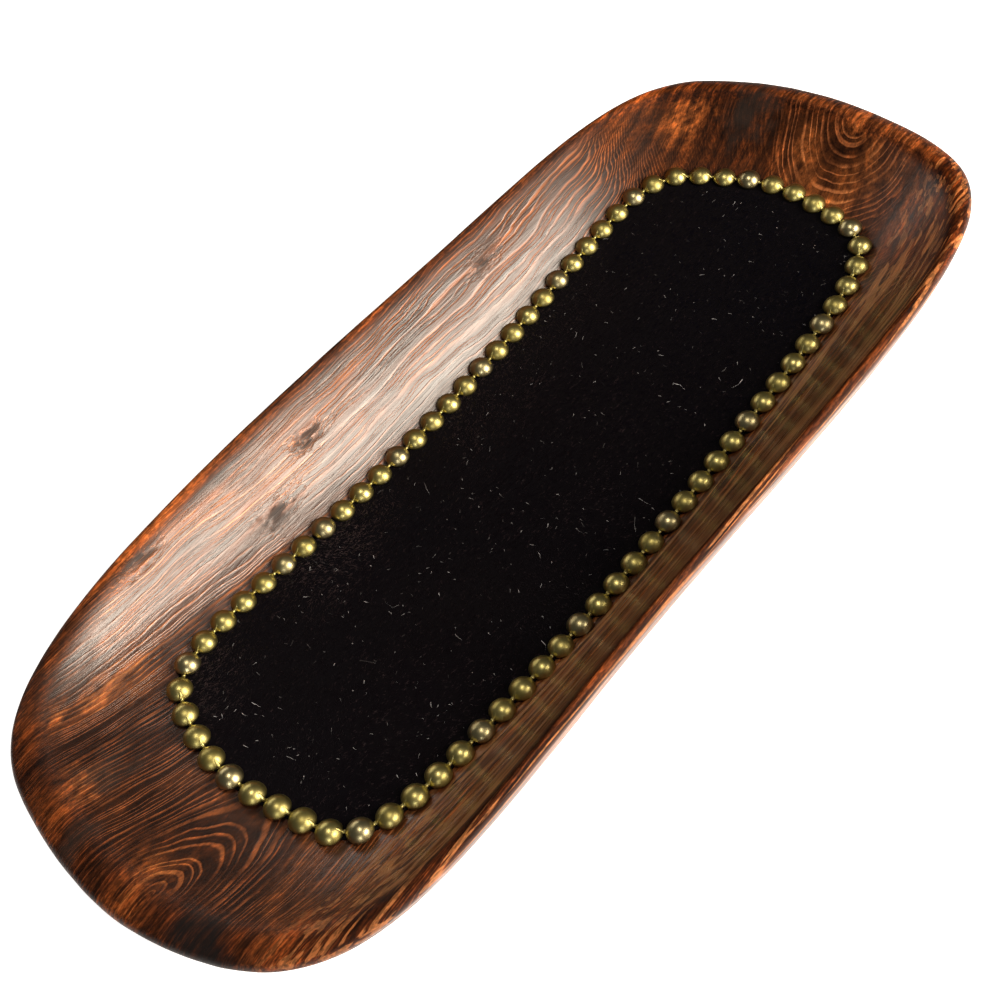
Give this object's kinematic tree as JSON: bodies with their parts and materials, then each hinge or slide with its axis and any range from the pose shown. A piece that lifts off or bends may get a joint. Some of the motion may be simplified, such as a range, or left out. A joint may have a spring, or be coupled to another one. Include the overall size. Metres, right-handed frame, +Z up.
{
  "type": "coin display tray",
  "caption": "Hand-carved elongated wooden trough tray with a black cloth-lined floor edged with nail-head trim, for laying out coins or small finds.",
  "frame": {"origin": "centre of the tray's outline, on the flat foot that the tray stands on", "axes": "+X along the tray, +Y across it, +Z up out of the hollow"},
  "size_m": [0.4844, 0.2065, 0.0583],
  "materials": {
    "stained_wood": "dark walnut stain, rubbed through to orange-brown on edges, satin wax",
    "black_pile": "short brushed black pile",
    "antique_brass": "antique olive brass plate, polished domes",
    "tack_brass": "antique brass plate, duller and greyer than the strip"
  },
  "bodies": {
    "root": {"tray_body": "stained_wood", "floor_lining": "black_pile", "nailhead_trim": "antique_brass", "tack_01": "tack_brass", "tack_02": "tack_brass", "tack_03": "tack_brass", "tack_04": "tack_brass", "tack_05": "tack_brass", "tack_06": "tack_brass", "tack_07": "tack_brass", "tack_08": "tack_brass", "tack_09": "tack_brass", "tack_10": "tack_brass", "tack_11": "tack_brass", "tack_12": "tack_brass", "tack_13": "tack_brass", "tack_14": "tack_brass", "tack_15": "tack_brass", "tack_16": "tack_brass"}
  },
  "joints": []
}
